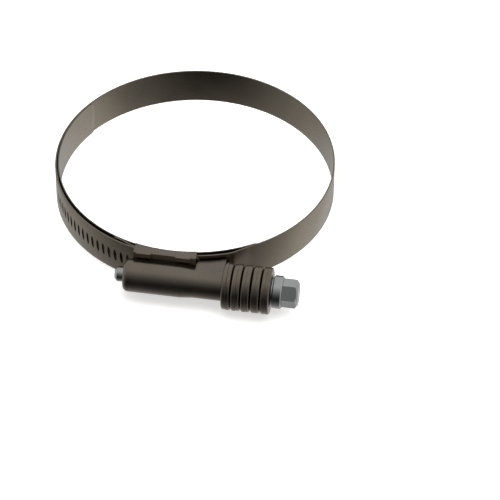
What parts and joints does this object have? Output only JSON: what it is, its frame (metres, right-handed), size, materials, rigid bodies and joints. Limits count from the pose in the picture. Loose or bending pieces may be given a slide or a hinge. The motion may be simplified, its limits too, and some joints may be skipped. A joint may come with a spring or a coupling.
{
  "type": "constant-tension hose clamp",
  "caption": "Worm-drive hose clamp with slotted steel band, inner liner and a disc spring stack under the screw head.",
  "frame": {"origin": "centre of the hose bore, at the middle of the band's width", "axes": "+Z along the hose; +X along the worm screw, from its tip to its hex head; the housing is on the -Y side"},
  "size_m": [0.1146, 0.131, 0.019],
  "materials": {
    "band_steel": "satin",
    "housing_steel": "satin",
    "spring_steel": "matt",
    "zinc_plate": "bright zinc plate"
  },
  "bodies": {
    "clamp_body": {"housing": "housing_steel", "saddle": "housing_steel", "band_fixed_end": "band_steel", "liner_bed": "band_steel"},
    "strap": {"band_strap": "band_steel"},
    "spring_end": {"thrust_washer": "zinc_plate"},
    "collar": {"thrust_collar": "zinc_plate"},
    "screw": {"screw": "zinc_plate"},
    "disc_pack_1": {"disc_spring_01": "spring_steel", "disc_spring_02": "spring_steel", "disc_spring_03": "spring_steel", "disc_spring_04": "spring_steel"},
    "disc_pack_2": {"disc_spring_05": "spring_steel", "disc_spring_06": "spring_steel", "disc_spring_07": "spring_steel", "disc_spring_08": "spring_steel"},
    "disc_pack_3": {"disc_spring_09": "spring_steel", "disc_spring_10": "spring_steel", "disc_spring_11": "spring_steel", "disc_spring_12": "spring_steel"},
    "disc_pack_4": {"disc_spring_13": "spring_steel", "disc_spring_14": "spring_steel", "disc_spring_15": "spring_steel", "disc_spring_16": "spring_steel"},
    "disc_pack_5": {"disc_spring_17": "spring_steel", "disc_spring_18": "spring_steel", "disc_spring_19": "spring_steel", "disc_spring_20": "spring_steel"},
    "band_right_1": {"band_right_1": "band_steel"},
    "band_right_2": {"band_right_2": "band_steel"},
    "band_right_3": {"band_right_3": "band_steel"},
    "band_right_4": {"band_right_4": "band_steel"},
    "band_right_5": {"band_right_5": "band_steel"},
    "band_left_1": {"band_left_1": "band_steel"},
    "band_left_2": {"band_left_2": "band_steel"},
    "band_left_3": {"band_left_3": "band_steel"},
    "band_left_4": {"band_left_4": "band_steel"},
    "band_left_5": {"band_left_5": "band_steel"},
    "liner_left_1": {"liner_left_1": "band_steel"},
    "liner_left_2": {"liner_left_2": "band_steel"}
  },
  "joints": [
    {"name": "screw_float", "type": "slide", "parent": "clamp_body", "child": "spring_end", "axis": [-1, 0, 0], "range_m": [0, 0.0027], "stiffness_N_per_m": 2000, "deforming": ["disc_spring_01", "disc_spring_02", "disc_spring_03", "disc_spring_04", "disc_spring_05", "disc_spring_06", "disc_spring_07", "disc_spring_08", "disc_spring_09", "disc_spring_10", "disc_spring_11", "disc_spring_12", "disc_spring_13", "disc_spring_14", "disc_spring_15", "disc_spring_16", "disc_spring_17", "disc_spring_18", "disc_spring_19", "disc_spring_20"]},
    {"name": "worm_turn", "type": "hinge", "parent": "spring_end", "child": "collar", "pos_m": [0, -0.06428, 0], "axis": [-1, 0, 0], "range_deg": [0, 3600]},
    {"name": "spring_turn", "type": "hinge", "parent": "collar", "child": "screw", "pos_m": [0, -0.06428, 0], "axis": [-1, 0, 0], "range_deg": [0, 324.06]},
    {"name": "disc_pack_1_slide", "type": "slide", "parent": "clamp_body", "child": "disc_pack_1", "axis": [-1, 0, 0], "range_m": [0, 0.00027005]},
    {"name": "disc_pack_2_slide", "type": "slide", "parent": "clamp_body", "child": "disc_pack_2", "axis": [-1, 0, 0], "range_m": [0, 0.00081016]},
    {"name": "disc_pack_3_slide", "type": "slide", "parent": "clamp_body", "child": "disc_pack_3", "axis": [-1, 0, 0], "range_m": [0, 0.00135]},
    {"name": "disc_pack_4_slide", "type": "slide", "parent": "clamp_body", "child": "disc_pack_4", "axis": [-1, 0, 0], "range_m": [0, 0.00189]},
    {"name": "disc_pack_5_slide", "type": "slide", "parent": "clamp_body", "child": "disc_pack_5", "axis": [-1, 0, 0], "range_m": [0, 0.00243]},
    {"name": "strap_travel", "type": "hinge", "parent": "clamp_body", "child": "strap", "pos_m": [0.00089, -0.00074, 0], "axis": [0, 0, 1], "range_deg": [0, 29.63]},
    {"name": "band_right_1_bend", "type": "hinge", "parent": "clamp_body", "child": "band_right_1", "pos_m": [0.03501, -0.04481, 0], "axis": [0, 0, 1], "range_deg": [0, 5.49]},
    {"name": "band_right_2_bend", "type": "hinge", "parent": "band_right_1", "child": "band_right_2", "pos_m": [0.0502, -0.02669, 0], "axis": [0, 0, 1], "range_deg": [0, 3.08]},
    {"name": "band_right_3_bend", "type": "hinge", "parent": "band_right_2", "child": "band_right_3", "pos_m": [0.05672, -0.00397, 0], "axis": [0, 0, 1], "range_deg": [0, 1.42]},
    {"name": "band_right_4_bend", "type": "hinge", "parent": "band_right_3", "child": "band_right_4", "pos_m": [0.05343, 0.01945, 0], "axis": [0, 0, 1], "range_deg": [0, 1.39]},
    {"name": "band_right_5_bend", "type": "hinge", "parent": "band_right_4", "child": "band_right_5", "pos_m": [0.0409, 0.0395, 0], "axis": [0, 0, 1], "range_deg": [0, 2.5]},
    {"name": "band_left_1_bend", "type": "hinge", "parent": "strap", "child": "band_left_1", "pos_m": [-0.05657, -0.00882, 0], "axis": [0, 0, -1], "range_deg": [0, 5.12]},
    {"name": "band_left_2_bend", "type": "hinge", "parent": "band_left_1", "child": "band_left_2", "pos_m": [-0.05488, 0.01525, 0], "axis": [0, 0, -1], "range_deg": [0, 3.52]},
    {"name": "band_left_3_bend", "type": "hinge", "parent": "band_left_2", "child": "band_left_3", "pos_m": [-0.04356, 0.03655, 0], "axis": [0, 0, -1], "range_deg": [0, 1.82]},
    {"name": "band_left_4_bend", "type": "hinge", "parent": "band_left_3", "child": "band_left_4", "pos_m": [-0.02493, 0.05111, 0], "axis": [0, 0, -1], "range_deg": [0, 0.92094]},
    {"name": "band_left_5_bend", "type": "hinge", "parent": "band_left_4", "child": "band_left_5", "pos_m": [-0.00198, 0.05683, 0], "axis": [0, 0, -1], "range_deg": [0, 0.76858]},
    {"name": "liner_left_1_bend", "type": "hinge", "parent": "clamp_body", "child": "liner_left_1", "pos_m": [-0.04199, -0.03781, 0], "axis": [0, 0, -1], "range_deg": [0, 5.24]},
    {"name": "liner_left_2_bend", "type": "hinge", "parent": "liner_left_1", "child": "liner_left_2", "pos_m": [-0.05619, -0.00591, 0], "axis": [0, 0, -1], "range_deg": [0, 5.38]}
  ],
  "couplings": [
    {"joint": "spring_turn", "follows": "screw_float", "rad_per_m": 2094.4},
    {"joint": "disc_pack_1_slide", "follows": "screw_float", "ratio": 0.1},
    {"joint": "disc_pack_2_slide", "follows": "screw_float", "ratio": 0.3},
    {"joint": "disc_pack_3_slide", "follows": "screw_float", "ratio": 0.5},
    {"joint": "disc_pack_4_slide", "follows": "screw_float", "ratio": 0.7},
    {"joint": "disc_pack_5_slide", "follows": "screw_float", "ratio": 0.9},
    {"joint": "strap_travel", "follows": "worm_turn", "ratio": 0.0082298},
    {"joint": "band_right_1_bend", "follows": "worm_turn", "ratio": 0.001526},
    {"joint": "band_right_2_bend", "follows": "worm_turn", "ratio": 0.00085619},
    {"joint": "band_right_3_bend", "follows": "worm_turn", "ratio": 0.00039562},
    {"joint": "band_right_4_bend", "follows": "worm_turn", "ratio": 0.0003851},
    {"joint": "band_right_5_bend", "follows": "worm_turn", "ratio": 0.00069322},
    {"joint": "band_left_1_bend", "follows": "worm_turn", "ratio": 0.0014221},
    {"joint": "band_left_2_bend", "follows": "worm_turn", "ratio": 0.00097675},
    {"joint": "band_left_3_bend", "follows": "worm_turn", "ratio": 0.00050486},
    {"joint": "band_left_4_bend", "follows": "worm_turn", "ratio": 0.00025576},
    {"joint": "band_left_5_bend", "follows": "worm_turn", "ratio": 0.00021345},
    {"joint": "liner_left_1_bend", "follows": "worm_turn", "ratio": 0.0014545},
    {"joint": "liner_left_2_bend", "follows": "worm_turn", "ratio": 0.0014952}
  ]
}
